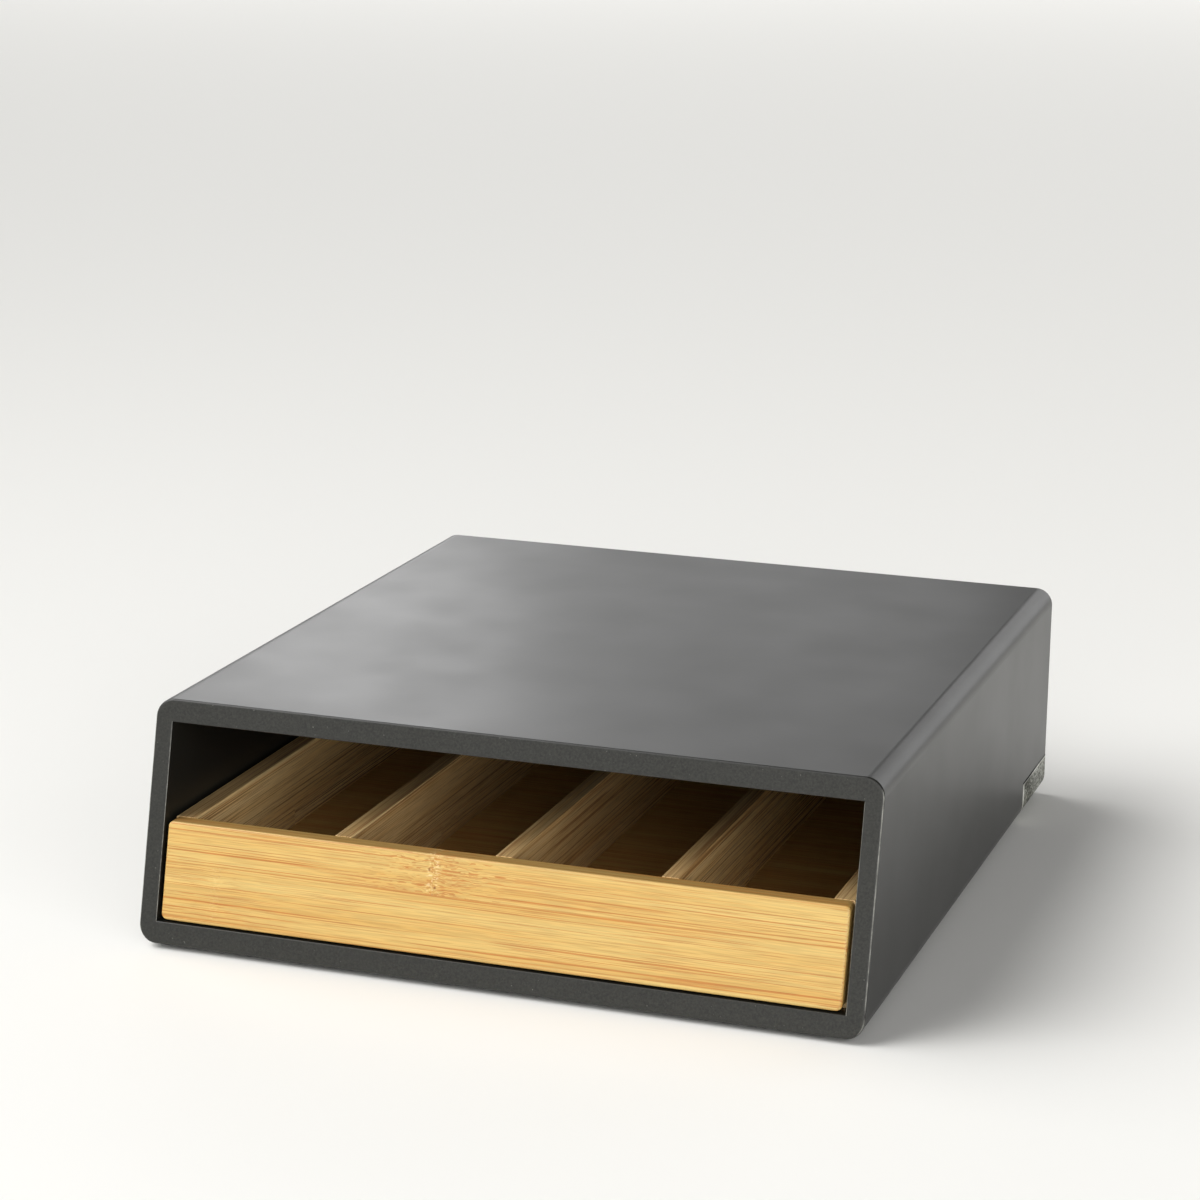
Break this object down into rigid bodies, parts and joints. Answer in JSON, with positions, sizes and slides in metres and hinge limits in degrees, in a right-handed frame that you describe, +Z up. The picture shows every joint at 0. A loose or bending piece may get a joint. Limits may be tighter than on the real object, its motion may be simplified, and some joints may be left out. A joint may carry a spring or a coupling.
{
  "type": "tea box",
  "caption": "Low black box with a leaning open front and a handleless bamboo drawer, divided for tea bags or capsules, whose flat top carries a small kitchen machine.",
  "frame": {"origin": "middle of the box's footprint, on the surface that the pads stand on", "axes": "+Z up; -Y towards the open front, where the drawer comes out; +X to the right of someone facing the front"},
  "size_m": [0.3, 0.3297, 0.098],
  "materials": {
    "black_lacquer": "satin black lacquer sprayed over fibreboard",
    "bamboo_front": "laminated honey bamboo, clear matt lacquer",
    "bamboo_board": "laminated bamboo, clear matt lacquer",
    "bamboo_base": "pressed bamboo panel, clear matt lacquer",
    "beech_dowel": "plain beech",
    "pad_rubber": "matt foam rubber"
  },
  "bodies": {
    "housing": {"bottom_board": "black_lacquer", "top_board": "black_lacquer", "left_side_board": "black_lacquer", "right_side_board": "black_lacquer", "back_board": "black_lacquer", "lower_left_dowels": "beech_dowel", "upper_left_dowels": "beech_dowel", "lower_right_dowels": "beech_dowel", "upper_right_dowels": "beech_dowel", "foot_pad_front_left": "pad_rubber", "foot_pad_front_right": "pad_rubber", "foot_pad_rear_left": "pad_rubber", "foot_pad_rear_right": "pad_rubber"},
    "drawer": {"drawer_front": "bamboo_front", "drawer_left_side": "bamboo_board", "drawer_right_side": "bamboo_board", "drawer_back": "bamboo_board", "drawer_base": "bamboo_base", "left_divider": "bamboo_board", "middle_divider": "bamboo_board", "right_divider": "bamboo_board"}
  },
  "joints": [
    {"name": "drawer_slide", "type": "slide", "parent": "housing", "child": "drawer", "axis": [0, -1, 0], "range_m": [0, 0.29]}
  ]
}
